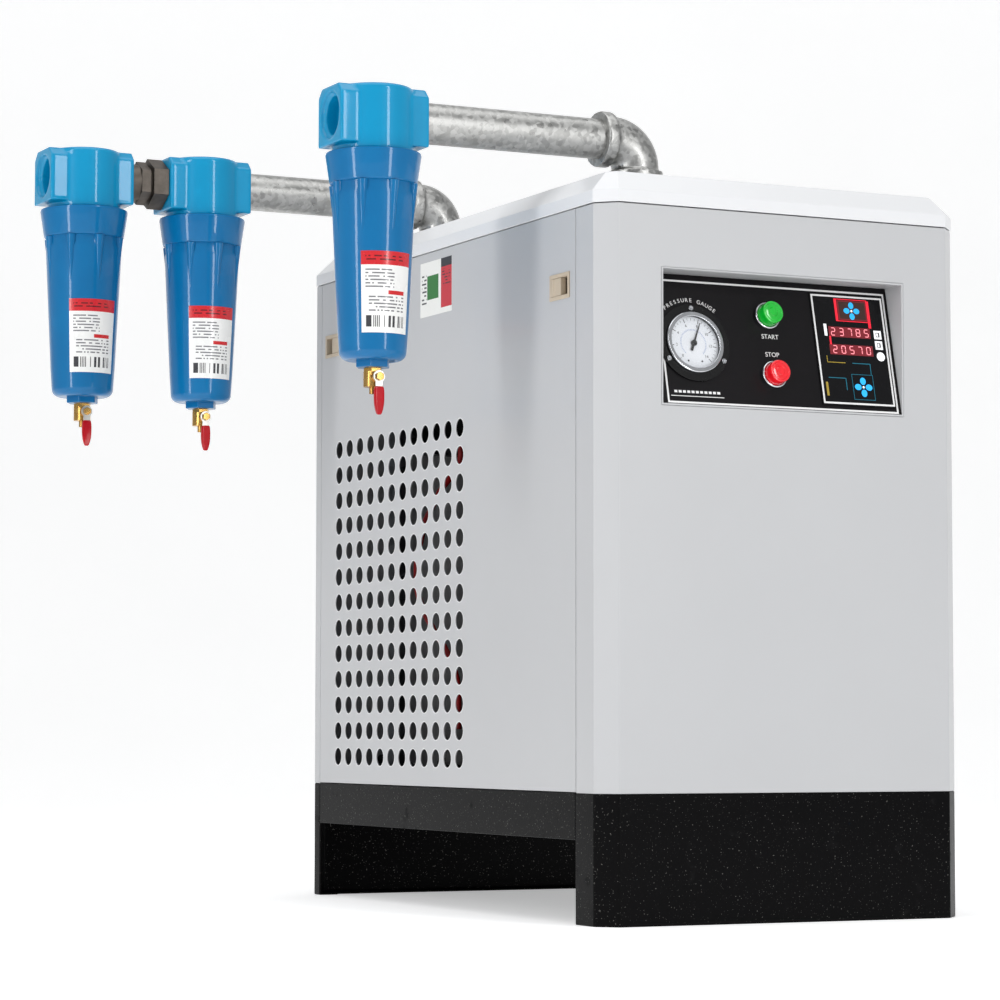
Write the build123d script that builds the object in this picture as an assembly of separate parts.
from build123d import *
import math
import os

# Refrigerated air dryer with three line filters, in millimetres.
# X runs to the right seen from the front, the front face looks along -Y and Z is up.
# The origin is on the floor, under the middle of the cabinet.

# ---------------------------------------------------------------- driving dimensions
# Cabinet
WIDTH = 430.0               # outside, across the side panels
DEPTH = 750.0               # outside, front to rear
CORNER = 19.0               # leg of the chamfer on each upright corner
PLINTH_HEIGHT = 132.0
BODY_HEIGHT = 595.0         # from the plinth to the underside of the cover
SKIRT_HEIGHT = 13.0         # upright rim of the cover
COVER_RISE = 21.0           # height of the sloping border of the cover
COVER_SLOPE = 20.0          # plan width of the sloping border
COVER_OVERHANG = 1.0
SHEET = 1.5                 # front, rear and cover sheet
PLINTH_SHEET = 2.5
SEAM = 1.0                  # visible gap between panels
LIP = 14.0                  # folded return that stiffens a sheet edge

# Corners of the cabinet, outside the side panels
FRONT_CORNER = 58.0         # from the front face to the side panels' front edge
REAR_CORNER = 35.0          # from the side panels' rear edge to the rear face

# Plinth
FORK_HEIGHT = 85.0          # height of the fork openings
FOOT = 22.0                 # width of the foot flange on the floor
PAN_SHEET = 2.0

# Side panels
PANEL_SHEET = 1.2
PANEL_FLANGE = 15.0
HOLE_PITCH = 30.0
HOLE_RADIUS = 10.0
HOLE_COLUMNS = 12
HOLE_ROWS = 13
FIELD_FROM_REAR = 218.5     # from the panel's rear edge to the middle of its holes
FIELD_RISE = 212.0          # from the plinth to the middle of the holes
SIDE_LABEL_FROM_FRONT = 335.0
SIDE_LABEL_DROP = 41.5      # below the underside of the cover
SIDE_LABEL_LENGTH, SIDE_LABEL_HEIGHT = 82.0, 61.0
STICKER = 0.3

# Panel latches
LATCH_INSET = 34.0          # from a panel's end to the middle of its latch
LATCH_DROP = 77.0           # below the underside of the cover
LATCH_LENGTH, LATCH_HEIGHT = 44.0, 27.0
LATCH_RIM = 2.5
LATCH_PROUD = 1.2
LATCH_WALL = 1.5
LATCH_TRAVEL = 8.0
FINGER_ROOM = 7.4           # left of the finger hollow when the latch is shut
TAB_THICKNESS = 6.0
GRIP_LENGTH = 5.0
STEM_LENGTH = 8.0
TONGUE_HEIGHT = 10.0
TONGUE_THICKNESS = 2.6

# Rails under the cover
RAIL_HEIGHT = 26.0
RAIL_WIDTH = 24.0
RAIL_SHEET = 2.0

# Control recess
RECESS_X = -2.0             # middle of the recess
RECESS_WIDTH = 290.0
RECESS_DROP = 204.0         # from the underside of the cover to the recess's lower edge
RECESS_HEIGHT = 141.0
RECESS_DEPTH = 32.0         # how far the top of the fascia leans back
TRAY_WALL = 2.0
TRAY_FLANGE = 8.0
FASCIA_SHEET = 3.0
GAUGE_U, GAUGE_V = -99.5, 68.0      # places on the fascia, across and up its slope
BUTTON_U, START_V, STOP_V = -9.3, 102.0, 38.0
DISPLAY_U, DISPLAY_V = 91.5, 70.5
DISPLAY_WIDTH, DISPLAY_HEIGHT = 90.0, 123.5
DISPLAY_LIP = 3.0           # how far the window laps over the fascia
DISPLAY_WALL = 2.0
DISPLAY_DEPTH = 22.0
WINDOW_SHEET = 1.2

# Pressure gauge, with heights above the fascia's front
GAUGE_FLANGE_R = 41.0
GAUGE_FLANGE = 2.5
GAUGE_BEZEL_R = 32.8
GAUGE_CASE_R = 31.8
GAUGE_DEPTH = 28.0
GAUGE_STUB_R, GAUGE_STUB = 7.0, 14.0
DIAL_R = 29.0
DIAL_LOW, DIAL_HIGH = -0.6, 0.2
LENS_LOW, LENS_HIGH = 3.0, 4.2
BEZEL_TOP = 5.9
SCREW_CIRCLE_R = 37.0
SCREW_HEAD_R, SCREW_SHANK_R = 2.6, 1.25
SCREW_HEAD = 1.6
POINTER_SHAFT_R = 1.0
POINTER_HUB_R = 3.2
POINTER_LENGTH, POINTER_TAIL = 24.0, 9.0
POINTER_TURN = -24.0        # clockwise from straight up, at the pressure it shows at rest

# Push buttons
COLLAR_R = 14.5
COLLAR_HEIGHT = 5.5
COLLAR_FLOOR = 0.8
CAP_R = 12.2
CAP_HEIGHT = 17.0
BARREL_R = 11.0
BARREL_LENGTH = 16.0
STEM_R = 8.0
BUTTON_TRAVEL = 4.0
CONTACT_SIZE, CONTACT_LENGTH = 28.0, 36.0

# Air piping, G1-1/4
PIPE_R = 21.2
PIPE_WALL = 3.2
THREAD_HEIGHT = 1.75        # threads are drawn as their core cylinder
THREAD_LENGTH = 17.0
RISER_FROM_END = 38.0       # from the heat exchanger's end to a riser
PIPE_RISE = 54.0            # from the cover's top to the pipes' axis
ELBOW_REACH = 45.0          # centre to face
ELBOW_WALL = 3.8            # elbow over pipe, and its collars over pipe
ELBOW_COLLAR_WALL = 8.3
ELBOW_COLLAR = 13.0
COVER_HOLE_ROOM = 4.0
GROMMET_WIDTH = 10.8
GROMMET_HEIGHT = 4.0

# Line filters
FILTER_STANDOFF = 192.0     # from the left side panel to the first filter's axis
FILTER_SPACING = 142.0      # to the last filter of the rear line
HEAD_LENGTH = 98.0          # port face to port face
HEAD_R = 41.0
HEAD_CROWN = 1.0            # top of the head above its port flanges
HEAD_SKIRT = 6.0            # port flanges above the bowl
HEAD_ROUND = 5.0
PORT_WALL = 10.5
PORT_FLANGE_THICKNESS = 24.0
PORT_CORNER = 9.0           # bevel of a port flange's upper corners
PORT_DEPTH = 20.0
PASSAGE_R = 14.0
BOWL_LENGTH = 211.5
BOWL_COLLAR_R, BOWL_COLLAR_FOOT_R = 49.2, 45.0
BOWL_COLLAR_HEIGHT = 34.0
BOWL_NECK_R = 43.0
BOWL_FOOT_R = 34.3
BOWL_ROUND = 9.0
BOWL_WALL = 3.0
BOWL_NUT = 32.0             # across flats
BOWL_NUT_HEIGHT = 7.0
ELEMENT_R, ELEMENT_CAP_R, ELEMENT_BORE_R = 26.0, 30.0, 14.0
ELEMENT_LENGTH, ELEMENT_CAP = 160.0, 6.0
BOWL_LABEL_RISE = 25.0      # from the bowl's bottom to its sticker
BOWL_LABEL_HEIGHT = 82.0
BOWL_LABEL_SPAN = 84.0      # degrees round the bowl, centred on the front
NIPPLE_HEX_OVER = 7.6       # hexagons' flats over the pipe's diameter
NIPPLE_HEX_SMALL_OVER = 0.6
NIPPLE_BORE_R = 15.0

# Drain valves under the bowls
VALVE_NIPPLE_R, VALVE_NIPPLE = 6.5, 13.0
VALVE_HEX, VALVE_HEX_HEIGHT = 17.0, 4.5
VALVE_R, VALVE_LENGTH = 9.5, 15.5
VALVE_AXIS_DROP = 10.0      # from the bowl's nut to the lever's axis
VALVE_BOSS_R = 5.5
VALVE_SPOUT_R, VALVE_SPOUT_BORE_R = 3.5, 2.2
VALVE_SPOUT_DROP = 26.5     # from the bowl's nut to the spout's end
LEVER_STEM_R = 2.5
LEVER_LENGTH = 39.0
LEVER_WIDTH = 11.0
LEVER_FRONT = 15.2          # from the valve's centre to the lever's back
LEVER_PLATE, LEVER_PLATE_WIDTH = 1.6, 8.0
LEVER_HUB_R = 6.5
LEVER_SLEEVE = 4.6
LEVER_BARE = 10.0           # from the axis to the sleeve's upper end
LEVER_NUT, LEVER_NUT_HEIGHT = 8.0, 3.0

# Cooling circuit
EXCHANGER_R = 75.0
EXCHANGER_END_ROOM = 95.0   # from either end to the cabinet's face
EXCHANGER_JACKET = 14.0     # insulation and shell
EXCHANGER_ROUND = 12.0
EXCHANGER_INSET = 35.0      # from the left side panel
EXCHANGER_ROOM = 42.0       # below the underside of the cover
SOCKET_DEPTH = 8.0          # how deep the risers enter it
STAND_FROM_END = 80.0       # from the heat exchanger's end to a stand
STAND_DEPTH, STAND_LEG = 24.0, 20.0
POCKET_R, POCKET_DROP, POCKET_INSET = 10.0, 6.0, 20.0
POCKET_FROM_STAND = 58.0    # thermostat pocket, under the exchanger
COMPRESSOR_R = 98.0
COMPRESSOR_HEIGHT = 245.0
COMPRESSOR_INSET = 47.0     # from the left side panel
COMPRESSOR_Y = 25.0
COMPRESSOR_RIM = 14.0       # foot plate over shell
COMPRESSOR_PLATE = 4.0
COMPRESSOR_SHELL = 3.0
COMPRESSOR_DOME = 40.0
COMPRESSOR_MOTOR_R, COMPRESSOR_MOTOR = 58.0, 150.0
TERMINAL_HEIGHT = 36.0
TERMINAL_LENGTH, TERMINAL_PROUD, TERMINAL_BACK = 50.0, 12.0, 30.0
MOUNT_HEIGHT = 22.0
MOUNT_R, MOUNT_WAIST_R, MOUNT_PLUG_R, MOUNT_BORE_R = 13.0, 10.0, 7.6, 4.0
CONDENSER_WIDTH, CONDENSER_HEIGHT, CONDENSER_DEPTH = 360.0, 380.0, 40.0
CONDENSER_INSET = 65.0      # from the right side panel to the fins' inner face
FIN_PITCH = 12.0
FIN_SHEET = 4.0
END_SHEET = 3.0
FAN_R = 142.0
FAN_HUB_R, FAN_HUB_LENGTH = 26.0, 20.0
FAN_CLEARANCE = 6.0
FAN_STANDOFF = 24.0         # from the fins to the middle of the blades
FAN_BLADES, BLADE_PITCH, BLADE_SHEET, BLADE_CHORD = 5, 28.0, 2.0, 66.0
THROAT_LENGTH = 24.0
SHROUD_SHEET = 2.0
ARM_WIDTH, ARM_SHEET = 12.0, 4.0
FAN_SHAFT_R, FAN_SHAFT = 4.0, 32.0
FAN_MOTOR_R = 42.0
FAN_MOTOR_LENGTH = 60.0
COPPER_R = 5.0
LEAD_R = 3.5
DRAIN_FROM_STAND = 45.0     # automatic drain, under the exchanger
DRAIN_R, DRAIN_HEIGHT = 19.0, 62.0
HOSE_R = 4.0
BOX_WIDTH, BOX_DEPTH, BOX_HEIGHT = 115.0, 110.0, 140.0
BOX_FRONT = 120.0           # from the cabinet's front to the switchgear box
BOX_WALL = 3.0

# Fittings of the rear panel
GLAND_X, GLAND_RISE, GLAND_R = 120.0, 58.0, 10.0
GLAND_HEX, GLAND_HEX_HEIGHT = 26.0, 7.0
GLAND_DOME_R, GLAND_DOME = 11.5, 14.0
GLAND_BORE_R = 5.0
BARB_X, BARB_RISE, BARB_R = -120.0, 28.0, 5.0
BARB_LENGTH, BARB_BORE_R = 28.0, 3.0
BARB_HEX, BARB_HEX_HEIGHT = 17.0, 6.0

# Fits
RUN = 0.05                  # radial clearance of a running fit
SLIP = 0.3                  # clearance between parts that slide or drop in
STICK = 0.02                # a sticker lies this far off a curved surface

# ---------------------------------------------------------------- worked out from them
FRONT_Y = -DEPTH / 2
REAR_Y = DEPTH / 2
SIDE_X = WIDTH / 2
BODY_TOP = PLINTH_HEIGHT + BODY_HEIGHT
SKIRT_TOP = BODY_TOP + SKIRT_HEIGHT
COVER_TOP = SKIRT_TOP + COVER_RISE
PAN_TOP = PLINTH_HEIGHT + PAN_SHEET
PANEL_FRONT = FRONT_Y + FRONT_CORNER
PANEL_REAR = REAR_Y - REAR_CORNER
PANEL_BOTTOM = PLINTH_HEIGHT + SEAM
PANEL_TOP = BODY_TOP - SEAM
FORK_FRONT = PANEL_FRONT + SEAM     # the fork openings run from here ...
FORK_REAR = PANEL_REAR              # ... to here along Y
FIELD_Y = PANEL_REAR - FIELD_FROM_REAR
FIELD_Z = PLINTH_HEIGHT + FIELD_RISE
LATCH_Z = BODY_TOP - LATCH_DROP
RECESS_BOTTOM = BODY_TOP - RECESS_DROP
TILT = math.degrees(math.atan2(RECESS_DEPTH, RECESS_HEIGHT))
FASCIA = Plane(
    origin=(RECESS_X, FRONT_Y + 0.5, RECESS_BOTTOM),
    x_dir=(1, 0, 0),
    z_dir=(0, -math.cos(math.radians(TILT)), math.sin(math.radians(TILT))),
)
EXCHANGER_LENGTH = DEPTH - 2 * EXCHANGER_END_ROOM
PIPE_Y = EXCHANGER_LENGTH / 2 - RISER_FROM_END      # front line at -PIPE_Y, rear line at +PIPE_Y
STAND_Y = EXCHANGER_LENGTH / 2 - STAND_FROM_END
DRAIN_Y = DRAIN_FROM_STAND - STAND_Y
POCKET_Y = STAND_Y - POCKET_FROM_STAND
THREAD_CORE_R = PIPE_R - THREAD_HEIGHT
PORT_R = THREAD_CORE_R + RUN
PIPE_BORE_R = PIPE_R - PIPE_WALL
PIPE_X = -SIDE_X + EXCHANGER_INSET + EXCHANGER_R    # risers and elbows
PIPE_Z = COVER_TOP + PIPE_RISE
PORT_FLANGE = 2 * (PORT_R + PORT_WALL)
HEAD_TOP = PIPE_Z + PORT_FLANGE / 2 + HEAD_CROWN
BOWL_TOP = PIPE_Z - PORT_FLANGE / 2 - HEAD_SKIRT
BOWL_NECK = BOWL_TOP - BOWL_COLLAR_HEIGHT
BOWL_BOTTOM = BOWL_TOP - BOWL_LENGTH
BOWL_NUT_BOTTOM = BOWL_BOTTOM - BOWL_NUT_HEIGHT
BOWL_LABEL_LOW = BOWL_BOTTOM + BOWL_LABEL_RISE
BOWL_LABEL_HIGH = BOWL_LABEL_LOW + BOWL_LABEL_HEIGHT
FIRST_FILTER_X = -SIDE_X - FILTER_STANDOFF
LAST_FILTER_X = FIRST_FILTER_X - FILTER_SPACING
LINES = {
    "pre": (FIRST_FILTER_X, -PIPE_Y),
    "after": (FIRST_FILTER_X, PIPE_Y),
    "final": (LAST_FILTER_X, PIPE_Y),
}
LEVER_Z = BOWL_NUT_BOTTOM - VALVE_AXIS_DROP
VALVE_SPOUT_END = BOWL_NUT_BOTTOM - VALVE_SPOUT_DROP
EXCHANGER_Z = BODY_TOP - EXCHANGER_ROOM - EXCHANGER_R
EXCHANGER_BOTTOM = EXCHANGER_Z - EXCHANGER_R
COMPRESSOR_X = -SIDE_X + COMPRESSOR_INSET + COMPRESSOR_R
COMPRESSOR_LOW = PAN_TOP + MOUNT_HEIGHT
COMPRESSOR_TOP = COMPRESSOR_LOW + COMPRESSOR_PLATE + COMPRESSOR_HEIGHT
SHELL_R = COMPRESSOR_R - COMPRESSOR_RIM
TERMINAL_TOP = COMPRESSOR_LOW + COMPRESSOR_PLATE + TERMINAL_HEIGHT
CONDENSER_X = SIDE_X - CONDENSER_INSET
CONDENSER_LOW = FIELD_Z - CONDENSER_HEIGHT / 2
CONDENSER_HIGH = FIELD_Z + CONDENSER_HEIGHT / 2
FAN_X = CONDENSER_X - FAN_STANDOFF
THROAT_R = FAN_R + FAN_CLEARANCE
MOTOR_END = FAN_X - FAN_HUB_LENGTH
GLAND_Z = PLINTH_HEIGHT + GLAND_RISE
BARB_Z = PLINTH_HEIGHT + BARB_RISE


# ---------------------------------------------------------------- helpers
def block(x, y, z):
    """A box between the pairs of limits x, y and z."""
    size = [limits[1] - limits[0] for limits in (x, y, z)]
    middle = [(limits[0] + limits[1]) / 2 for limits in (x, y, z)]
    return Pos(*middle) * Box(*size)


def rod(start, axis, radius, length):
    """A cylinder that begins at start and runs along axis."""
    plane = Plane(origin=start, z_dir=axis)
    return plane * Pos(0, 0, length / 2) * Cylinder(radius, length)


def ring(start, axis, radius, bore, length):
    """A tube that begins at start and runs along axis."""
    return rod(start, axis, radius, length) - rod(start, axis, bore, length)


def hexagon(start, axis, flats, length):
    """A hexagonal bar of the given size across flats."""
    corner = flats / math.sqrt(3)
    return extrude(Plane(origin=start, z_dir=axis) * RegularPolygon(corner, 6), length)


def plan(inset):
    """The cabinet's chamfered outline in plan, moved inwards by inset."""
    x, y = SIDE_X - inset, DEPTH / 2 - inset
    cut = CORNER - inset * (2 - math.sqrt(2))
    points = [
        (-x + cut, -y), (x - cut, -y), (x, -y + cut), (x, y - cut),
        (x - cut, y), (-x + cut, y), (-x, y - cut), (-x, -y + cut),
    ]
    return make_face(Polyline(*points, close=True))


def wall(inset, sheet, bottom, top):
    """An upright wall of sheet that follows the cabinet's outline."""
    return Pos(0, 0, bottom) * extrude(plan(inset) - plan(inset + sheet), top - bottom)


def both_sides(shape):
    """A shape on the left side, and its mirror image on the right."""
    return [shape, mirror(shape, about=Plane.YZ)]


def on_fascia(u, v, radius, low, high):
    """A cylinder square to the fascia, from low to high above its front surface."""
    return FASCIA * Pos(u, v, (low + high) / 2) * Cylinder(radius, high - low)


def line_of_tube(points, radius, most=60.0):
    """A bent tube along straight runs joined by arcs as large as the runs allow."""
    vectors = [Vector(*point) for point in points]
    radii = []
    for before, here, after in zip(vectors, vectors[1:], vectors[2:]):
        turn = math.radians((here - before).get_angle(after - here))
        shorter = min((here - before).length, (after - here).length)
        radii.append(min(most, 0.45 * shorter / math.tan(turn / 2)))
    path = FilletPolyline(*points, radius=radii)
    start = Plane(origin=path @ 0, z_dir=path % 0)
    tube = sweep(start * Circle(radius), path=path)
    print("tube radii", [round(r) for r in radii], "volume share",
          round(tube.volume / (math.pi * radius**2 * path.length), 4))
    return tube


def save(name, *shapes):
    """Writes one sub-part, made of one or more solids."""
    solids = []
    for shape in shapes:
        solids += list(shape.solids())
    part = solids[0] if len(solids) == 1 else Compound(children=solids)
    export_step(part, f"parts/{name}.step")


# ---------------------------------------------------------------- plinth
def plinth_end(y_face, y_return):
    """A folded end of the plinth: a full-height face whose corners return along the sides."""
    keep = block((-WIDTH, WIDTH), sorted((y_face, y_return)), (0, PLINTH_HEIGHT))
    end = wall(0, PLINTH_SHEET, 0, PLINTH_HEIGHT) & keep
    for bottom in (0, PLINTH_HEIGHT - PLINTH_SHEET):
        flange = plan(PLINTH_SHEET / 2) - plan(PLINTH_SHEET + FOOT)
        end += (Pos(0, 0, bottom) * extrude(flange, PLINTH_SHEET)) & keep
    return end


def plinth_side_rails():
    """The strips above the fork openings, with a flange that carries the floor pan."""
    face = block((-SIDE_X, -SIDE_X + PLINTH_SHEET), (FORK_FRONT, FORK_REAR), (FORK_HEIGHT, PLINTH_HEIGHT))
    flange = block(
        (-SIDE_X, -SIDE_X + PLINTH_SHEET + FOOT),
        (FORK_FRONT, FORK_REAR),
        (PLINTH_HEIGHT - PLINTH_SHEET, PLINTH_HEIGHT),
    )
    return both_sides(face + flange)


def mount_places():
    """The four feet of the compressor, in the corners of its foot plate."""
    reach = COMPRESSOR_R - COMPRESSOR_RIM
    return [(COMPRESSOR_X + i * reach, COMPRESSOR_Y + j * reach) for i in (-1, 1) for j in (-1, 1)]


def floor_pan():
    inset = SHEET + SEAM
    pan = Pos(0, 0, PLINTH_HEIGHT) * extrude(plan(inset + PANEL_FLANGE), PAN_SHEET)
    for x, y in mount_places():
        pan -= rod((x, y, PLINTH_HEIGHT - 1), (0, 0, 1), MOUNT_BORE_R + SLIP, PAN_SHEET + 2)
    return pan


# ---------------------------------------------------------------- body panels
def end_panel(front):
    """The front or rear panel: a face with chamfered corners, short returns and folded lips."""
    edge = PANEL_FRONT - SEAM if front else PANEL_REAR + SEAM
    low, high = (FRONT_Y, edge) if front else (edge, REAR_Y)
    lip = (edge - SHEET, edge) if front else (edge, edge + SHEET)
    keep = block((-WIDTH, WIDTH), (low - 1, high) if front else (low, high + 1), (0, BODY_TOP))
    panel = wall(0, SHEET, PLINTH_HEIGHT, PANEL_TOP) & keep
    fold = block((-SIDE_X + SHEET / 2, -SIDE_X + SHEET + LIP), lip, (PLINTH_HEIGHT, PANEL_TOP))
    for side in both_sides(fold):
        panel += side
    return panel


def front_panel():
    opening = block(
        (RECESS_X - RECESS_WIDTH / 2, RECESS_X + RECESS_WIDTH / 2),
        (FRONT_Y - 1, FRONT_Y + SHEET + 1),
        (RECESS_BOTTOM, RECESS_BOTTOM + RECESS_HEIGHT),
    )
    return end_panel(True) - opening


def rear_panel():
    panel = end_panel(False)
    panel -= rod((GLAND_X, REAR_Y - 10, GLAND_Z), (0, 1, 0), GLAND_R + SLIP, 20)
    panel -= rod((BARB_X, REAR_Y - 10, BARB_Z), (0, 1, 0), BARB_R + SLIP, 20)
    return panel


def latch_places():
    """Middle of each latch along Y, with the direction in which its tongue shoots."""
    return {"front": (PANEL_FRONT + LATCH_INSET, -1), "rear": (PANEL_REAR - LATCH_INSET, 1)}


def side_panel():
    """The left side panel: a perforated tray that faces inwards."""
    length, height = PANEL_REAR - PANEL_FRONT, PANEL_TOP - PANEL_BOTTOM
    middle_y, middle_z = (PANEL_FRONT + PANEL_REAR) / 2, (PANEL_BOTTOM + PANEL_TOP) / 2
    face = Pos(middle_y, middle_z) * Rectangle(length, height)
    holes = GridLocations(HOLE_PITCH, HOLE_PITCH, HOLE_COLUMNS, HOLE_ROWS)
    face -= [Pos(FIELD_Y, FIELD_Z) * spot * Circle(HOLE_RADIUS) for spot in holes]
    for y, _ in latch_places().values():
        face -= Pos(y, LATCH_Z) * Rectangle(LATCH_LENGTH - 2 * LATCH_RIM, LATCH_HEIGHT - 2 * LATCH_RIM)
    side = Plane(origin=(-SIDE_X, 0, 0), x_dir=(0, 1, 0), z_dir=(1, 0, 0))
    tray = extrude(side * face, PANEL_SHEET)
    rim = Pos(middle_y, middle_z) * (
        Rectangle(length, height) - Rectangle(length - 2 * PANEL_SHEET, height - 2 * PANEL_SHEET)
    )
    return tray + extrude(side * rim, PANEL_FLANGE)


def latch_frame(y, shoots):
    """A latch's moulded housing: a rim on the panel and a pocket behind it."""
    half, high = LATCH_LENGTH / 2, LATCH_HEIGHT / 2
    inner, inner_high = half - LATCH_RIM - SLIP / 2, high - LATCH_RIM - SLIP / 2
    depth = PANEL_FLANGE + TONGUE_THICKNESS + 2 * SEAM + LATCH_WALL
    rim = block((-SIDE_X - LATCH_PROUD, -SIDE_X), (y - half, y + half), (LATCH_Z - high, LATCH_Z + high))
    body = block(
        (-SIDE_X, -SIDE_X + depth), (y - inner, y + inner), (LATCH_Z - inner_high, LATCH_Z + inner_high)
    )
    pocket = block(
        (-SIDE_X - LATCH_PROUD, -SIDE_X + depth - LATCH_WALL),
        (y - inner + LATCH_WALL, y + inner - LATCH_WALL),
        (LATCH_Z - inner_high + LATCH_WALL, LATCH_Z + inner_high - LATCH_WALL),
    )
    slot = block(
        (-SIDE_X + PANEL_FLANGE, -SIDE_X + depth - LATCH_WALL),
        sorted((y + shoots * (inner - 2 * LATCH_WALL), y + shoots * (inner + SEAM))),
        (LATCH_Z - TONGUE_HEIGHT / 2 - SLIP, LATCH_Z + TONGUE_HEIGHT / 2 + SLIP),
    )
    return rim + body - pocket - slot


def latch_tab(y, shoots, panel_end):
    """The sliding part of a latch, drawn back: thumb piece, grip, stem and tongue."""
    inner = LATCH_LENGTH / 2 - LATCH_RIM - SLIP / 2 - LATCH_WALL
    high = LATCH_HEIGHT / 2 - LATCH_RIM - SLIP / 2 - LATCH_WALL - SLIP
    back = y - shoots * (inner - SLIP)
    ahead = y + shoots * (inner - FINGER_ROOM - LATCH_TRAVEL)
    face = -SIDE_X - LATCH_PROUD
    deep = -SIDE_X + PANEL_FLANGE + SEAM
    upright = (LATCH_Z - high, LATCH_Z + high)
    narrow = (LATCH_Z - TONGUE_HEIGHT / 2, LATCH_Z + TONGUE_HEIGHT / 2)
    thumb_face = face + LATCH_PROUD / 2
    thumb = block((thumb_face, thumb_face + TAB_THICKNESS), sorted((back, ahead)), upright)
    grip = block((face, thumb_face + TAB_THICKNESS), sorted((back, back + shoots * GRIP_LENGTH)), upright)
    stem = block((-SIDE_X, deep + TONGUE_THICKNESS), sorted((back, back + shoots * STEM_LENGTH)), narrow)
    tongue = block((deep, deep + TONGUE_THICKNESS), sorted((back, panel_end - shoots * SEAM)), narrow)
    return thumb + grip + stem + tongue


def side_label():
    y, z = PANEL_FRONT + SIDE_LABEL_FROM_FRONT, BODY_TOP - SIDE_LABEL_DROP
    return block(
        (-SIDE_X - STICKER, -SIDE_X),
        (y - SIDE_LABEL_LENGTH / 2, y + SIDE_LABEL_LENGTH / 2),
        (z - SIDE_LABEL_HEIGHT / 2, z + SIDE_LABEL_HEIGHT / 2),
    )


def upper_rails():
    """Angle rails between the front and rear panels that carry the cover."""
    outer = -SIDE_X + PANEL_FLANGE + SEAM
    length = (PANEL_FRONT - SEAM, PANEL_REAR + SEAM)
    web = block((outer, outer + RAIL_SHEET), length, (BODY_TOP - RAIL_HEIGHT, BODY_TOP))
    flange = block((outer, outer + RAIL_WIDTH), length, (BODY_TOP - RAIL_SHEET, BODY_TOP))
    return both_sides(web + flange)


def cover_solid(inset, drop):
    """The cover's outer form, or its inner form when inset and lowered."""
    foot = inset - COVER_OVERHANG
    skirt = Pos(0, 0, BODY_TOP) * extrude(plan(foot), SKIRT_HEIGHT - drop)
    low = Pos(0, 0, SKIRT_TOP - drop) * plan(foot)
    high = Pos(0, 0, COVER_TOP - drop) * plan(foot + COVER_SLOPE)
    return skirt + loft([low, high])


def top_cover():
    cover = cover_solid(0, 0) - cover_solid(SHEET, SHEET)
    cover += Pos(0, 0, BODY_TOP) * extrude(plan(0) - plan(PANEL_FLANGE + LIP), SHEET)
    for y in (-PIPE_Y, PIPE_Y):
        cover -= rod((PIPE_X, y, COVER_TOP - 10), (0, 0, 1), PIPE_R + COVER_HOLE_ROOM, 20)
    return cover


# ---------------------------------------------------------------- control recess
def tray_room(gap):
    """The space inside the recess tray, drawn in by gap."""
    half = RECESS_WIDTH / 2 - SLIP - TRAY_WALL - gap
    return block(
        (RECESS_X - half, RECESS_X + half),
        (FRONT_Y - 5, FRONT_Y + RECESS_DEPTH + 20),
        (RECESS_BOTTOM + SLIP + TRAY_WALL + gap, RECESS_BOTTOM + RECESS_HEIGHT - SLIP - TRAY_WALL - gap),
    )


def console_tray():
    """Black surround of the recess, flush with the front, with a flange behind the sheet."""
    half = RECESS_WIDTH / 2 - SLIP
    low, high = RECESS_BOTTOM + SLIP, RECESS_BOTTOM + RECESS_HEIGHT - SLIP
    box = block((RECESS_X - half, RECESS_X + half), (FRONT_Y, FRONT_Y + RECESS_DEPTH + 6), (low, high))
    flange = block(
        (RECESS_X - half - TRAY_FLANGE, RECESS_X + half + TRAY_FLANGE),
        (FRONT_Y + SHEET, FRONT_Y + SHEET + TRAY_WALL),
        (low - TRAY_FLANGE, high + TRAY_FLANGE),
    )
    return box + flange - tray_room(0)


def control_fascia():
    """Leaning plate with the openings of the gauge, the buttons and the display."""
    middle = RECESS_HEIGHT / 2
    plate = FASCIA * Pos(0, middle, -FASCIA_SHEET / 2) * Box(RECESS_WIDTH, 2 * RECESS_HEIGHT, FASCIA_SHEET)
    plate &= tray_room(0.1)
    plate -= on_fascia(GAUGE_U, GAUGE_V, GAUGE_CASE_R + SLIP, -FASCIA_SHEET - 1, 1)
    for v in (START_V, STOP_V):
        plate -= on_fascia(BUTTON_U, v, BARREL_R + SLIP, -FASCIA_SHEET - 1, 1)
    lap = 2 * (DISPLAY_LIP - SLIP)
    opening = Box(DISPLAY_WIDTH - lap, DISPLAY_HEIGHT - lap, 4 * FASCIA_SHEET)
    return plate - FASCIA * Pos(DISPLAY_U, DISPLAY_V, 0) * opening


def display_housing():
    """Open case of the controller, seated in the fascia's opening."""
    width, height = DISPLAY_WIDTH - 2 * DISPLAY_LIP, DISPLAY_HEIGHT - 2 * DISPLAY_LIP
    case = FASCIA * Pos(DISPLAY_U, DISPLAY_V, -DISPLAY_DEPTH / 2) * Box(width, height, DISPLAY_DEPTH)
    hollow = Box(width - 2 * DISPLAY_WALL, height - 2 * DISPLAY_WALL, DISPLAY_DEPTH)
    return case - FASCIA * Pos(DISPLAY_U, DISPLAY_V, DISPLAY_WALL - DISPLAY_DEPTH / 2) * hollow


def display_window():
    sheet = Box(DISPLAY_WIDTH, DISPLAY_HEIGHT, WINDOW_SHEET)
    return FASCIA * Pos(DISPLAY_U, DISPLAY_V, WINDOW_SHEET / 2) * sheet


def on_gauge(radius, low, high):
    return on_fascia(GAUGE_U, GAUGE_V, radius, low, high)


def screw_places():
    """The gauge's three flange screws, the first one at the top."""
    turns = [math.radians(angle) for angle in (90, 210, 330)]
    return [(GAUGE_U + SCREW_CIRCLE_R * math.cos(t), GAUGE_V + SCREW_CIRCLE_R * math.sin(t)) for t in turns]


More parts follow.
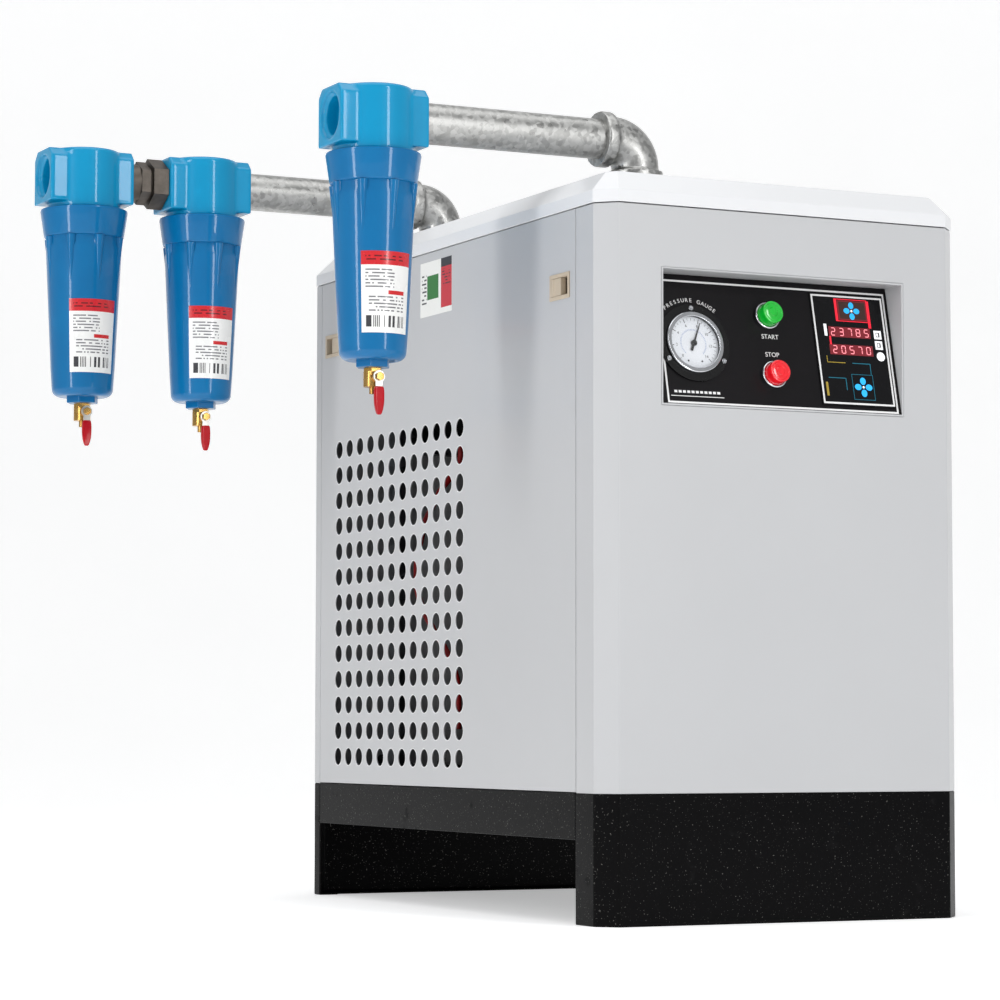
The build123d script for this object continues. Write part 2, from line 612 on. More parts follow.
def gauge_case():
    """Cup with a front flange, a ledge for the dial and a rear connection."""
    case = on_gauge(GAUGE_FLANGE_R, 0, GAUGE_FLANGE) + on_gauge(GAUGE_CASE_R, -GAUGE_DEPTH, GAUGE_FLANGE)
    case += on_gauge(GAUGE_STUB_R, -GAUGE_DEPTH - GAUGE_STUB, -GAUGE_DEPTH)
    case -= on_gauge(DIAL_R + SLIP, DIAL_LOW, GAUGE_FLANGE + 1)
    case -= on_gauge(DIAL_R - 2, 2 - GAUGE_DEPTH, 0)
    for u, v in screw_places():
        case -= on_fascia(u, v, SCREW_SHANK_R + RUN, -1, GAUGE_FLANGE + 1)
    return case


def gauge_dial():
    return on_gauge(DIAL_R, DIAL_LOW, DIAL_HIGH) - on_gauge(POINTER_SHAFT_R + RUN, -2, 2)


def gauge_bezel():
    ring_out = on_gauge(GAUGE_BEZEL_R, GAUGE_FLANGE, BEZEL_TOP) - on_gauge(DIAL_R + 0.9, 0, LENS_HIGH + 0.1)
    ring_out -= on_gauge(DIAL_R - 1, 0, BEZEL_TOP + 1)
    return chamfer(ring_out.edges().filter_by(GeomType.CIRCLE).sort_by(lambda e: e.radius)[-2:], 0.8)


def gauge_lens():
    return on_gauge(DIAL_R + 0.7, LENS_LOW, LENS_HIGH)


def gauge_pointer():
    """Pointer, hub and spindle, turned to the reading at rest."""
    blade = make_face(Polyline(
        (-1.5, -POINTER_TAIL), (1.5, -POINTER_TAIL), (1.1, 0), (0.3, POINTER_LENGTH),
        (-0.3, POINTER_LENGTH), (-1.1, 0), close=True,
    ))
    turned = FASCIA * Pos(GAUGE_U, GAUGE_V, 1.4) * Rot(0, 0, POINTER_TURN)
    return extrude(turned * blade, 0.6) + on_gauge(POINTER_HUB_R, 0.8, 2.6) + on_gauge(POINTER_SHAFT_R, -8, 1)


def gauge_screws():
    """Cross-slotted screws through the case's flange."""
    heads = []
    for u, v in screw_places():
        head = on_fascia(u, v, SCREW_HEAD_R, GAUGE_FLANGE, GAUGE_FLANGE + SCREW_HEAD)
        slot = Box(1.3 * SCREW_HEAD_R, 0.3 * SCREW_HEAD_R, SCREW_HEAD)
        for turn in (0, 90):
            head -= FASCIA * Pos(u, v, GAUGE_FLANGE + SCREW_HEAD) * Rot(0, 0, turn) * slot
        heads.append(head + on_fascia(u, v, SCREW_SHANK_R, 0.2, GAUGE_FLANGE))
    return heads


def switch_body(v):
    """Chrome collar and the barrel that guides the button's stem."""
    body = on_fascia(BUTTON_U, v, COLLAR_R, 0, COLLAR_HEIGHT)
    body -= on_fascia(BUTTON_U, v, CAP_R + SLIP, COLLAR_FLOOR, COLLAR_HEIGHT + 1)
    body += on_fascia(BUTTON_U, v, BARREL_R, -BARREL_LENGTH, COLLAR_FLOOR)
    body -= on_fascia(BUTTON_U, v, STEM_R + SLIP, -BARREL_LENGTH - 1, COLLAR_FLOOR + 1)
    return chamfer(body.edges().filter_by(GeomType.CIRCLE).sort_by(Axis.Y)[0], 0.8)


def push_button(v):
    """Cap and stem, at rest, standing proud of the collar."""
    low = COLLAR_FLOOR + BUTTON_TRAVEL + SLIP
    cap = on_fascia(BUTTON_U, v, CAP_R, low, CAP_HEIGHT)
    cap = fillet(cap.edges().filter_by(GeomType.CIRCLE).sort_by(Axis.Y)[0], 1.2)
    return cap + on_fascia(BUTTON_U, v, STEM_R, BUTTON_TRAVEL + 2 - BARREL_LENGTH, low)


def contact_block(v):
    """Contact block behind a button's barrel."""
    middle = -BARREL_LENGTH - CONTACT_LENGTH / 2
    return FASCIA * Pos(BUTTON_U, v, middle) * Box(CONTACT_SIZE, CONTACT_SIZE, CONTACT_LENGTH)


# ---------------------------------------------------------------- air piping
def threaded_pipe(start, axis, length):
    """A pipe with a threaded end of core diameter at each end."""
    direction = Vector(*axis)
    pipe = rod(start, axis, THREAD_CORE_R, length)
    pipe += rod(tuple(Vector(*start) + direction * THREAD_LENGTH), axis, PIPE_R, length - 2 * THREAD_LENGTH)
    return pipe - rod(start, axis, PIPE_BORE_R, length)


def riser_pipe(y):
    """From the heat exchanger's top up into the elbow."""
    bottom = EXCHANGER_Z + EXCHANGER_R - SOCKET_DEPTH
    top = PIPE_Z - ELBOW_REACH + THREAD_LENGTH
    return threaded_pipe((PIPE_X, y, bottom), (0, 0, 1), top - bottom)


def branch_pipe(y):
    """From the elbow out to the first filter's head."""
    start = PIPE_X - ELBOW_REACH + THREAD_LENGTH
    end = FIRST_FILTER_X + HEAD_LENGTH / 2 - THREAD_LENGTH
    return threaded_pipe((start, y, PIPE_Z), (-1, 0, 0), start - end)


def elbow(y):
    """Malleable iron elbow with a reinforced collar round each socket."""
    down = (PIPE_X, y, PIPE_Z - ELBOW_REACH)
    out = (PIPE_X - ELBOW_REACH, y, PIPE_Z)
    corner = (PIPE_X, y, PIPE_Z)
    path = FilletPolyline(down, corner, out, radius=PIPE_R + 2 * ELBOW_WALL)
    start = Plane(origin=down, z_dir=(0, 0, 1))
    body = sweep(start * Circle(PIPE_R + ELBOW_WALL), path=path)
    body += rod(down, (0, 0, 1), PIPE_R + ELBOW_COLLAR_WALL, ELBOW_COLLAR)
    body += rod(out, (1, 0, 0), PIPE_R + ELBOW_COLLAR_WALL, ELBOW_COLLAR)
    body -= sweep(start * Circle(PIPE_BORE_R), path=path)
    body -= rod(down, (0, 0, 1), PORT_R, THREAD_LENGTH + 1)
    return body - rod(out, (1, 0, 0), PORT_R, THREAD_LENGTH + 1)


def riser_grommet(y):
    """Rubber ring that closes the cover's hole round a riser."""
    return ring((PIPE_X, y, COVER_TOP), (0, 0, 1), PIPE_R + GROMMET_WIDTH, PIPE_R + 2 * RUN, GROMMET_HEIGHT)


# ---------------------------------------------------------------- line filters
def filter_head(x, y):
    """Cast head: a port flange each side of a round body, with the bowl's socket below."""
    low, high = PIPE_Z - PORT_FLANGE / 2, PIPE_Z + PORT_FLANGE / 2
    half = HEAD_LENGTH / 2
    head = rod((x, y, BOWL_TOP), (0, 0, 1), HEAD_R, HEAD_TOP - BOWL_TOP)
    head = fillet(head.edges().filter_by(GeomType.CIRCLE).sort_by(Axis.Z)[-1], HEAD_ROUND)
    flange = block((x - half, x + half), (y - PORT_FLANGE / 2, y + PORT_FLANGE / 2), (low, high))
    flange = chamfer(flange.edges().filter_by(Axis.X).sort_by(Axis.Z)[-2:], PORT_CORNER)
    waist = block(
        (x - half + PORT_FLANGE_THICKNESS, x + half - PORT_FLANGE_THICKNESS),
        (y - PORT_FLANGE, y + PORT_FLANGE),
        (low - 1, high + 1),
    )
    barrel = rod((x - half, y, PIPE_Z), (1, 0, 0), PORT_FLANGE / 2 - 2, HEAD_LENGTH)
    head += (flange - waist) + barrel
    head -= rod((x - half, y, PIPE_Z), (1, 0, 0), PORT_R, PORT_DEPTH)
    head -= rod((x + half, y, PIPE_Z), (-1, 0, 0), PORT_R, PORT_DEPTH)
    dirty = half - PORT_DEPTH + 5
    head -= rod((x - half + PORT_DEPTH, y, PIPE_Z), (1, 0, 0), PASSAGE_R, PASSAGE_R)
    head -= rod((x - dirty + PASSAGE_R / 2, y, BOWL_TOP), (0, 0, 1), PASSAGE_R / 2, PIPE_Z - BOWL_TOP)
    head -= rod((x + half - PORT_DEPTH, y, PIPE_Z), (-1, 0, 0), PASSAGE_R, half - PORT_DEPTH)
    return head - rod((x, y, BOWL_TOP), (0, 0, 1), PASSAGE_R - 2, PIPE_Z - BOWL_TOP)


def cone_solid(x, y, low, high, low_r, high_r):
    """A cone frustum round an upright axis."""
    return Pos(x, y, (low + high) / 2) * Cone(low_r, high_r, high - low)


def filter_bowl(x, y):
    """Tapered bowl with a coupling collar on top and a drain nut below."""
    bowl = cone_solid(x, y, BOWL_BOTTOM, BOWL_NECK, BOWL_FOOT_R, BOWL_NECK_R)
    bowl = fillet(bowl.edges().filter_by(GeomType.CIRCLE).sort_by(Axis.Z)[0], BOWL_ROUND)
    collar = cone_solid(x, y, BOWL_NECK, BOWL_TOP, BOWL_COLLAR_FOOT_R, BOWL_COLLAR_R)
    collar = chamfer(collar.edges().filter_by(GeomType.CIRCLE), 1)
    floor, inner = BOWL_BOTTOM + BOWL_WALL + 2, BOWL_NECK_R - BOWL_WALL
    hollow = cone_solid(x, y, floor, BOWL_NECK, BOWL_FOOT_R - BOWL_WALL - 1, inner)
    hollow += rod((x, y, BOWL_NECK), (0, 0, 1), inner, BOWL_COLLAR_HEIGHT)
    nut = hexagon((x, y, BOWL_NUT_BOTTOM), (0, 0, 1), BOWL_NUT, BOWL_NUT_HEIGHT)
    drain = rod((x, y, BOWL_NUT_BOTTOM), (0, 0, 1), VALVE_NIPPLE_R + RUN, BOWL_NUT_HEIGHT + VALVE_NIPPLE)
    return bowl + collar + nut - hollow - drain


def filter_element(x, y):
    """Pleated element hung from the head, drawn as its sleeve and end caps."""
    low, high = BOWL_TOP - ELEMENT_LENGTH, BOWL_TOP
    body = rod((x, y, low), (0, 0, 1), ELEMENT_R, ELEMENT_LENGTH)
    body += rod((x, y, high - ELEMENT_CAP), (0, 0, 1), ELEMENT_CAP_R, ELEMENT_CAP)
    return body - rod((x, y, low + ELEMENT_CAP), (0, 0, 1), ELEMENT_BORE_R, ELEMENT_LENGTH)


def bowl_radius(z):
    """Outer radius of the bowl's taper at height z."""
    share = (z - BOWL_BOTTOM) / (BOWL_NECK - BOWL_BOTTOM)
    return BOWL_FOOT_R + share * (BOWL_NECK_R - BOWL_FOOT_R)


def filter_label(x, y):
    """Sticker on the front of the bowl's taper."""
    limits = (BOWL_LABEL_LOW, BOWL_LABEL_HIGH)
    radii = [bowl_radius(z) + STICK for z in limits]
    shell = cone_solid(x, y, *limits, radii[0] + STICKER, radii[1] + STICKER)
    shell -= cone_solid(x, y, *limits, *radii)
    reach = 2 * BOWL_NECK_R
    side = reach * math.tan(math.radians(BOWL_LABEL_SPAN / 2))
    sector = make_face(Polyline((x, y), (x - side, y - reach), (x + side, y - reach), close=True))
    return shell & (Pos(0, 0, BOWL_LABEL_LOW - 1) * extrude(sector, BOWL_LABEL_HEIGHT + 2))


def drain_valve(x, y):
    """Brass ball valve with a boss for the lever's stem and a spout."""
    low = LEVER_Z - VALVE_R
    valve = rod((x, y, BOWL_NUT_BOTTOM - 3), (0, 0, 1), VALVE_NIPPLE_R, VALVE_NIPPLE + 3)
    valve += hexagon((x, y, BOWL_NUT_BOTTOM - VALVE_HEX_HEIGHT - 0.5), (0, 0, 1), VALVE_HEX, VALVE_HEX_HEIGHT)
    valve += rod((x, y, low), (0, 0, 1), VALVE_R, VALVE_LENGTH)
    valve += rod((x, y, LEVER_Z), (0, -1, 0), VALVE_BOSS_R, LEVER_FRONT - SLIP)
    valve += rod((x, y, VALVE_SPOUT_END), (0, 0, 1), VALVE_SPOUT_R, low - VALVE_SPOUT_END)
    valve -= rod((x, y, VALVE_SPOUT_END), (0, 0, 1), VALVE_SPOUT_BORE_R, 60)
    return valve - rod((x, y - VALVE_R + 3, LEVER_Z), (0, -1, 0), LEVER_STEM_R + RUN, LEVER_FRONT)


def drain_lever(x, y):
    """Lever hanging down: plate, vinyl sleeve, stem and nut."""
    back, front = y - LEVER_FRONT, y - LEVER_FRONT - LEVER_PLATE
    half, half_sleeve = LEVER_PLATE_WIDTH / 2, LEVER_SLEEVE / 2
    middle = (back + front) / 2
    plate = block((x - half, x + half), (front, back), (LEVER_Z - LEVER_LENGTH + half, LEVER_Z))
    plate += rod((x, back, LEVER_Z), (0, -1, 0), LEVER_HUB_R, LEVER_PLATE)
    sleeve = block(
        (x - LEVER_WIDTH / 2, x + LEVER_WIDTH / 2),
        (middle - half_sleeve, middle + half_sleeve),
        (LEVER_Z - LEVER_LENGTH, LEVER_Z - LEVER_BARE),
    )
    sleeve = fillet(sleeve.edges().filter_by(Axis.Y).group_by(Axis.Z)[0], LEVER_WIDTH / 2 - 0.5)
    inside = y - VALVE_R + 1.5
    stem = rod((x, inside, LEVER_Z), (0, -1, 0), LEVER_STEM_R, inside - front + LEVER_NUT_HEIGHT + 1)
    nut = hexagon((x, front, LEVER_Z), (0, -1, 0), LEVER_NUT, LEVER_NUT_HEIGHT)
    return plate + sleeve + stem + nut


def filter_nipple():
    """Reducing hex nipple between the two filters of the rear line."""
    right = FIRST_FILTER_X - HEAD_LENGTH / 2
    left = LAST_FILTER_X + HEAD_LENGTH / 2
    gap, start = right - left, (left - THREAD_LENGTH, PIPE_Y, PIPE_Z)
    length = gap + 2 * THREAD_LENGTH
    large, small = 2 * PIPE_R + NIPPLE_HEX_OVER, 2 * PIPE_R + NIPPLE_HEX_SMALL_OVER
    nipple = rod(start, (1, 0, 0), THREAD_CORE_R, length)
    nipple += hexagon((right - 0.42 * gap, PIPE_Y, PIPE_Z), (1, 0, 0), large, 0.4 * gap)
    nipple += hexagon((right - 0.72 * gap, PIPE_Y, PIPE_Z), (1, 0, 0), small, 0.24 * gap)
    nipple += rod((left + 0.02 * gap, PIPE_Y, PIPE_Z), (1, 0, 0), PIPE_R, 0.3 * gap)
    return nipple - rod(start, (1, 0, 0), NIPPLE_BORE_R, length)


# ---------------------------------------------------------------- inside the cabinet
def heat_exchanger():
    """Insulated pre-cooler and evaporator, with sockets for the risers and a thermostat pocket."""
    half = EXCHANGER_LENGTH / 2
    shell = rod((PIPE_X, -half, EXCHANGER_Z), (0, 1, 0), EXCHANGER_R, EXCHANGER_LENGTH)
    shell = fillet(shell.edges().filter_by(GeomType.CIRCLE), EXCHANGER_ROUND)
    shell += rod((PIPE_X - POCKET_INSET, POCKET_Y, EXCHANGER_BOTTOM - POCKET_DROP), (0, 0, 1), POCKET_R, 20)
    for y in (-PIPE_Y, PIPE_Y):
        shell -= rod((PIPE_X, y, EXCHANGER_Z + EXCHANGER_R - SOCKET_DEPTH), (0, 0, 1), PORT_R, 20)
    inner = half - EXCHANGER_JACKET - SOCKET_DEPTH
    return shell - rod((PIPE_X, -inner, EXCHANGER_Z), (0, 1, 0), EXCHANGER_R - EXCHANGER_JACKET, 2 * inner)


def exchanger_stands():
    """Two portal stands from the floor pan, with a saddle under the exchanger."""
    stands = []
    left, right = PIPE_X - EXCHANGER_R - SOCKET_DEPTH, PIPE_X + EXCHANGER_R + SOCKET_DEPTH
    for y in (-STAND_Y, STAND_Y):
        low, high = y - STAND_DEPTH / 2, y + STAND_DEPTH / 2
        portal = block((left, right), (low, high), (PAN_TOP, EXCHANGER_Z - EXCHANGER_R / 2))
        gap_top = EXCHANGER_BOTTOM - STAND_LEG
        portal -= block((left + STAND_LEG, right - STAND_LEG), (low - 1, high + 1), (PAN_TOP + 4, gap_top))
        portal -= rod((PIPE_X, low - 1, EXCHANGER_Z), (0, 1, 0), EXCHANGER_R + SLIP, STAND_DEPTH + 2)
        stands.append(portal)
    return stands


def compressor():
    """Hermetic compressor: a domed shell on a foot plate, with its terminal box and motor."""
    x, y, low, foot = COMPRESSOR_X, COMPRESSOR_Y, COMPRESSOR_LOW, COMPRESSOR_LOW + COMPRESSOR_PLATE
    plate = block((x - COMPRESSOR_R, x + COMPRESSOR_R), (y - COMPRESSOR_R, y + COMPRESSOR_R), (low, foot))
    plate = fillet(plate.edges().filter_by(Axis.Z), COMPRESSOR_RIM)
    for px, py in mount_places():
        plate -= rod((px, py, low - 1), (0, 0, 1), MOUNT_PLUG_R + SLIP, COMPRESSOR_PLATE + 2)
    shell = rod((x, y, foot), (0, 0, 1), SHELL_R, COMPRESSOR_HEIGHT)
    shell = fillet(shell.edges().filter_by(GeomType.CIRCLE).sort_by(Axis.Z)[-1], COMPRESSOR_DOME)
    floor, inner = foot + COMPRESSOR_SHELL, SHELL_R - COMPRESSOR_SHELL
    void = rod((x, y, floor), (0, 0, 1), inner, COMPRESSOR_HEIGHT - 2 * COMPRESSOR_SHELL)
    dome = COMPRESSOR_DOME - COMPRESSOR_SHELL
    void = fillet(void.edges().filter_by(GeomType.CIRCLE).sort_by(Axis.Z)[-1], dome)
    band = ring((x, y, foot + COMPRESSOR_HEIGHT / 2), (0, 0, 1), SHELL_R + 5, SHELL_R - 2, 8)
    left, front = x - COMPRESSOR_R, y - TERMINAL_LENGTH / 5
    sides = (left - TERMINAL_PROUD, left + TERMINAL_BACK)
    terminals = block(sides, (front, front + TERMINAL_LENGTH), (foot, TERMINAL_TOP))
    terminals -= rod((x, y, low), (0, 0, 1), SHELL_R - 0.5, COMPRESSOR_HEIGHT)
    motor = rod((x, y, floor), (0, 0, 1), COMPRESSOR_MOTOR_R, COMPRESSOR_MOTOR)
    return plate + (shell - void) + band + terminals + motor


def compressor_mounts():
    """Rubber feet with a waist below the foot plate and a plug through it."""
    feet = []
    for x, y in mount_places():
        plate_top = PAN_TOP + MOUNT_HEIGHT + COMPRESSOR_PLATE
        foot = rod((x, y, PAN_TOP), (0, 0, 1), MOUNT_R, MOUNT_HEIGHT)
        foot += rod((x, y, PAN_TOP), (0, 0, 1), MOUNT_PLUG_R, MOUNT_HEIGHT + 2 * COMPRESSOR_PLATE)
        foot += rod((x, y, plate_top), (0, 0, 1), MOUNT_R - 2, COMPRESSOR_PLATE)
        foot -= ring((x, y, PAN_TOP + 8), (0, 0, 1), MOUNT_R + 1, MOUNT_WAIST_R, 6)
        feet.append(foot - rod((x, y, PAN_TOP), (0, 0, 1), MOUNT_BORE_R, 2 * MOUNT_HEIGHT))
    return feet


def condenser_coil():
    """Finned block between two end plates that stand on the floor pan."""
    half = CONDENSER_WIDTH / 2
    depth = (CONDENSER_X, CONDENSER_X + CONDENSER_DEPTH)
    core = (CONDENSER_X + FIN_PITCH, CONDENSER_X + CONDENSER_DEPTH - FIN_PITCH)
    coil = block(core, (FIELD_Y - half, FIELD_Y + half), (CONDENSER_LOW, CONDENSER_HIGH))
    count = int(CONDENSER_WIDTH // FIN_PITCH)
    first = FIELD_Y - FIN_PITCH * (count - 1) / 2
    for number in range(count):
        y = first + number * FIN_PITCH
        coil += block(depth, (y - FIN_SHEET / 2, y + FIN_SHEET / 2), (CONDENSER_LOW, CONDENSER_HIGH))
    for y in (FIELD_Y - half, FIELD_Y + half - END_SHEET):
        coil += block(depth, (y, y + END_SHEET), (PAN_TOP, CONDENSER_HIGH))
    return coil


def fan_shroud():
    """Sheet on the coil with a round throat, and arms that hold the motor."""
    half = CONDENSER_WIDTH / 2
    sheet = (CONDENSER_X - SHROUD_SHEET, CONDENSER_X)
    mouth = (CONDENSER_X - SHROUD_SHEET - THROAT_LENGTH, FIELD_Y, FIELD_Z)
    shroud = block(sheet, (FIELD_Y - half, FIELD_Y + half), (CONDENSER_LOW, CONDENSER_HIGH))
    shroud += rod(mouth, (1, 0, 0), THROAT_R + SHROUD_SHEET, THROAT_LENGTH)
    shroud -= rod(mouth, (1, 0, 0), THROAT_R, THROAT_LENGTH + 2 * SHROUD_SHEET)
    level = (FIELD_Z - ARM_WIDTH / 2, FIELD_Z + ARM_WIDTH / 2)
    for side in (-1, 1):
        inner, outer = FIELD_Y + side * (FAN_MOTOR_R - 4), FIELD_Y + side * (THROAT_R + ARM_WIDTH)
        shroud += block((MOTOR_END - ARM_SHEET, MOTOR_END), sorted((inner, outer)), level)
        leg = sorted((outer, outer - side * ARM_SHEET))
        shroud += block((MOTOR_END - ARM_SHEET, CONDENSER_X), leg, level)
    return shroud - rod((MOTOR_END - 10, FIELD_Y, FIELD_Z), (1, 0, 0), FAN_MOTOR_R + 2 * RUN, 12)


def fan_motor():
    """Motor whose shaft points at the coil."""
    start = (MOTOR_END - FAN_MOTOR_LENGTH, FIELD_Y, FIELD_Z)
    motor = rod(start, (1, 0, 0), FAN_MOTOR_R, FAN_MOTOR_LENGTH)
    motor = fillet(motor.edges().filter_by(GeomType.CIRCLE).sort_by(Axis.X)[0], 8)
    return motor + rod((MOTOR_END, FIELD_Y, FIELD_Z), (1, 0, 0), FAN_SHAFT_R, FAN_SHAFT)


def fan_blade():
    """Fan with a bored hub."""
    middle = Pos(FAN_X, FIELD_Y, FIELD_Z)
    hub = rod((FAN_X - 8, FIELD_Y, FIELD_Z), (1, 0, 0), FAN_HUB_R, FAN_HUB_LENGTH)
    blade = Pos(0, FAN_R / 2 + 10, 0) * Rot(0, BLADE_PITCH, 0) * Box(BLADE_SHEET, FAN_R - 20, BLADE_CHORD)
    for number in range(FAN_BLADES):
        hub += middle * Rot(360 / FAN_BLADES * number, 0, 0) * blade
    hub &= rod((FAN_X - 20, FIELD_Y, FIELD_Z), (1, 0, 0), FAN_R, 40)
    return hub - rod((FAN_X - 30, FIELD_Y, FIELD_Z), (1, 0, 0), FAN_SHAFT_R + RUN, 60)


def refrigerant_lines():
    """Copper discharge, liquid and suction lines."""
    x, y, top = COMPRESSOR_X, COMPRESSOR_Y, COMPRESSOR_TOP
    coil_x, coil_y = CONDENSER_X + CONDENSER_DEPTH / 2, FIELD_Y - CONDENSER_WIDTH / 2
    low, inlet_y = CONDENSER_LOW + 46, -STAND_Y - 35
    discharge = [
        (x, y, top), (x, y, top + 50), (x + 90, y - 75, top + 65), (coil_x - 50, coil_y - 45, top + 80),
        (coil_x, coil_y - 30, top + 85), (coil_x, coil_y, top + 85),
    ]
    liquid = [
        (coil_x, coil_y, low), (coil_x, coil_y - 50, low), (coil_x - 50, inlet_y + 45, low + 5),
        (PIPE_X + 145, inlet_y + 10, low + 40), (PIPE_X + 50, inlet_y, low + 130),
        (PIPE_X + 25, inlet_y, EXCHANGER_BOTTOM - 60), (PIPE_X + 20, inlet_y, EXCHANGER_BOTTOM),
    ]
    suction = [
        (x + 20, y, top), (x + 20, y, top + 25), (x - 10, y + 40, top + 55),
        (PIPE_X + 10, y + 60, top + 90), (PIPE_X + 10, y + 60, EXCHANGER_BOTTOM),
    ]
    return [line_of_tube(route, COPPER_R) for route in (discharge, liquid, suction)]


def compressor_lead():
    """Red lead from the compressor's terminal box to the thermostat under the exchanger."""
    x, y, top = COMPRESSOR_X - COMPRESSOR_R - TERMINAL_PROUD / 2, COMPRESSOR_Y + 19, TERMINAL_TOP
    end_x = PIPE_X - POCKET_INSET
    route = [
        (x, y, top), (x, y, top + 22), (x - 7, y - 14, top + 54), (x - 13, y + 2, top + 86),
        (x - 14, y + 34, top + 110), (x - 14, y + 60, top + 130), (x - 10, y + 90, top + 156),
        (x - 6, y + 100, top + 188), (x + 4, y + 102, top + 234), (x + 24, y + 100, top + 274),
        (end_x, POCKET_Y, EXCHANGER_BOTTOM - 35), (end_x, POCKET_Y, EXCHANGER_BOTTOM - POCKET_DROP),
    ]
    return line_of_tube(route, LEAD_R)


def electrical_box():
    """Switchgear box behind the controls, hung in the right rail under the cover."""
    right = SIDE_X - PANEL_FLANGE - SEAM - RAIL_SHEET
    front, top = FRONT_Y + BOX_FRONT, BODY_TOP - RAIL_SHEET
    x, y, z = (right - BOX_WIDTH, right), (front, front + BOX_DEPTH), (top - BOX_HEIGHT, top)
    box = block(x, y, z)
    box = fillet(box.edges().filter_by(Axis.Z), 4)
    inside = [(limits[0] + BOX_WALL, limits[1] - BOX_WALL) for limits in (x, y, z)]
    return box - block(*inside)


def auto_drain():
    """Automatic condensate drain under the exchanger, its hose and the rear hose barb."""
    low, side, behind = EXCHANGER_BOTTOM - DRAIN_HEIGHT, -SIDE_X + 31, REAR_Y - 12
    body = rod((PIPE_X, DRAIN_Y, low), (0, 0, 1), DRAIN_R, DRAIN_HEIGHT + 0.5)
    body -= rod((PIPE_X, -EXCHANGER_LENGTH / 2, EXCHANGER_Z), (0, 1, 0), EXCHANGER_R + 0.02, EXCHANGER_LENGTH)
    hose = line_of_tube(
        [(PIPE_X, DRAIN_Y, low), (PIPE_X, DRAIN_Y, low - 48), (side + 19, DRAIN_Y + 30, PAN_TOP + 156),
         (side, DRAIN_Y + 80, PAN_TOP + 31), (side, COMPRESSOR_Y + 5, PAN_TOP + 13),
         (side + 2, COMPRESSOR_Y + 100, PAN_TOP + 12), (side + 34, COMPRESSOR_Y + 175, PAN_TOP + 12),
         (BARB_X, behind - 48, BARB_Z), (BARB_X, behind, BARB_Z)],
        HOSE_R, 40.0,
    )
    barb = rod((BARB_X, behind, BARB_Z), (0, 1, 0), BARB_R, BARB_LENGTH + 12)
    barb += hexagon((BARB_X, REAR_Y, BARB_Z), (0, 1, 0), BARB_HEX, BARB_HEX_HEIGHT)
    return [body, hose, barb - rod((BARB_X, behind + 2, BARB_Z), (0, 1, 0), BARB_BORE_R, BARB_LENGTH + 12)]


def cable_gland():
    """Gland in the rear panel for the mains lead: lock nut, hexagon and dome."""
    behind = REAR_Y - SHEET - GLAND_HEX_HEIGHT
    gland = rod((GLAND_X, behind - 4, GLAND_Z), (0, 1, 0), GLAND_R, REAR_Y + GLAND_HEX_HEIGHT - behind + 4)
    gland += hexagon((GLAND_X, REAR_Y, GLAND_Z), (0, 1, 0), GLAND_HEX, GLAND_HEX_HEIGHT)
    gland += hexagon((GLAND_X, behind, GLAND_Z), (0, 1, 0), GLAND_HEX, GLAND_HEX_HEIGHT)
    gland += rod((GLAND_X, REAR_Y + GLAND_HEX_HEIGHT, GLAND_Z), (0, 1, 0), GLAND_DOME_R, GLAND_DOME)
    gland = fillet(gland.edges().filter_by(GeomType.CIRCLE).sort_by(Axis.Y)[-1], 4)
    return gland - rod((GLAND_X, behind - 5, GLAND_Z), (0, 1, 0), GLAND_BORE_R, 60)


# ---------------------------------------------------------------- build
os.makedirs("parts", exist_ok=True)

save("plinth_front", plinth_end(FRONT_Y, FORK_FRONT))
save("plinth_rear", plinth_end(REAR_Y, FORK_REAR))
save("plinth_side_rails", *plinth_side_rails())
save("floor_pan", floor_pan())
save("front_panel", front_panel())
save("rear_panel", rear_panel())
save("upper_rails", *upper_rails())
save("top_cover", top_cover())

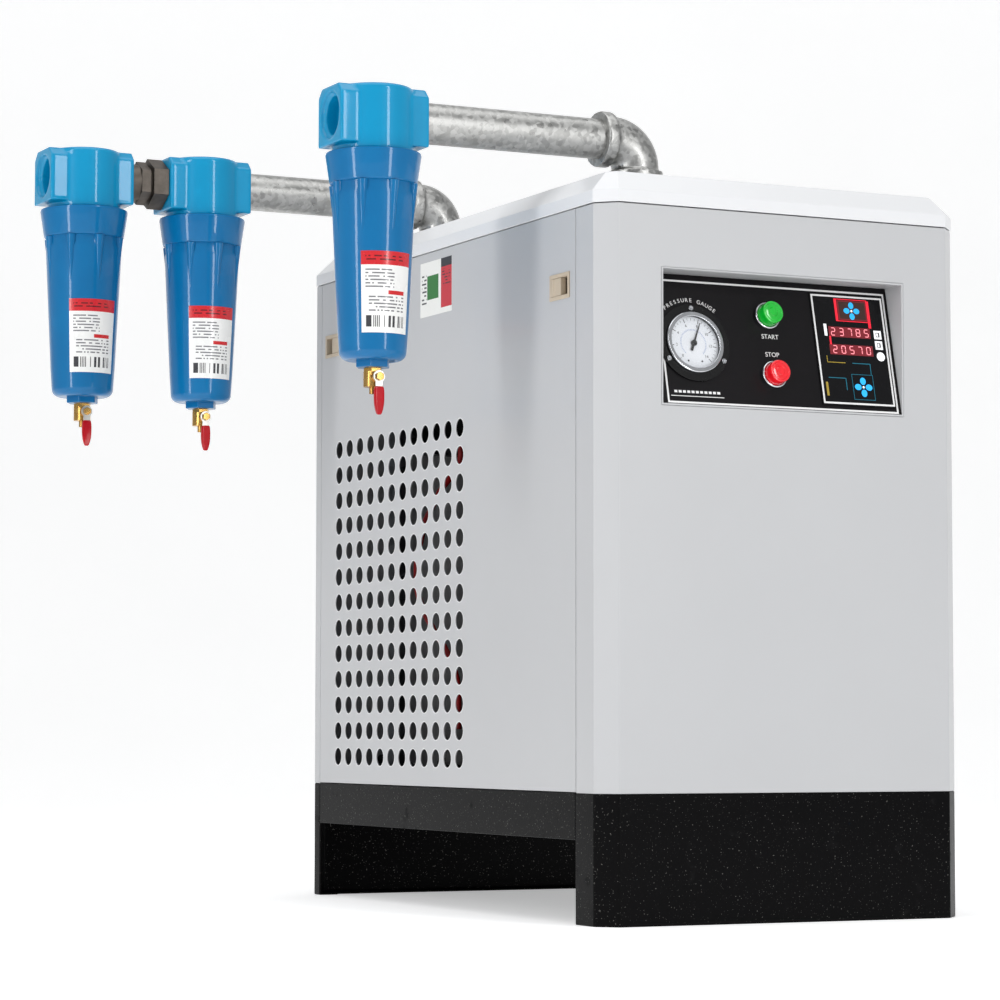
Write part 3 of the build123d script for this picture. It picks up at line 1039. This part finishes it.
for side_name, panel in zip(("left", "right"), both_sides(side_panel())):
    save(f"{side_name}_side_panel", panel)
ends = {"front": PANEL_FRONT, "rear": PANEL_REAR}
frames = [latch_frame(y, shoots) for y, shoots in latch_places().values()]
save("left_latch_frames", *frames)
save("right_latch_frames", *[mirror(frame, about=Plane.YZ) for frame in frames])
for end_name, (y, shoots) in latch_places().items():
    for side_name, tab in zip(("left", "right"), both_sides(latch_tab(y, shoots, ends[end_name]))):
        save(f"{side_name}_{end_name}_latch_tab", tab)
save("side_label", side_label())

save("console_tray", console_tray())
save("control_fascia", control_fascia())
save("display_housing", display_housing())
save("display_window", display_window())
save("gauge_case", gauge_case())
save("gauge_dial", gauge_dial())
save("gauge_bezel", gauge_bezel())
save("gauge_lens", gauge_lens())
save("gauge_pointer", gauge_pointer())
save("gauge_screws", *gauge_screws())
save("switch_bodies", *[part(v) for v in (START_V, STOP_V) for part in (switch_body, contact_block)])
save("start_button", push_button(START_V))
save("stop_button", push_button(STOP_V))

save("riser_pipes", riser_pipe(-PIPE_Y), riser_pipe(PIPE_Y))
save("pipe_elbows", elbow(-PIPE_Y), elbow(PIPE_Y))
save("branch_pipes", branch_pipe(-PIPE_Y), branch_pipe(PIPE_Y))
save("riser_grommets", riser_grommet(-PIPE_Y), riser_grommet(PIPE_Y))
save("filter_nipple", filter_nipple())
for line, (x, y) in LINES.items():
    save(f"{line}_filter_head", filter_head(x, y))
    save(f"{line}_filter_bowl", filter_bowl(x, y))
    save(f"{line}_drain_lever", drain_lever(x, y))
save("filter_elements", *[filter_element(x, y) for x, y in LINES.values()])
save("filter_labels", *[filter_label(x, y) for x, y in LINES.values()])
save("drain_valves", *[drain_valve(x, y) for x, y in LINES.values()])

save("heat_exchanger", heat_exchanger())
save("exchanger_stands", *exchanger_stands())
save("compressor", compressor())
save("compressor_mounts", *compressor_mounts())
save("condenser_coil", condenser_coil())
save("fan_shroud", fan_shroud())
save("fan_motor", fan_motor())
save("fan_blade", fan_blade())
save("refrigerant_lines", *refrigerant_lines())
save("compressor_lead", compressor_lead())
save("electrical_box", electrical_box())
save("auto_drain", *auto_drain())
save("cable_gland", cable_gland())
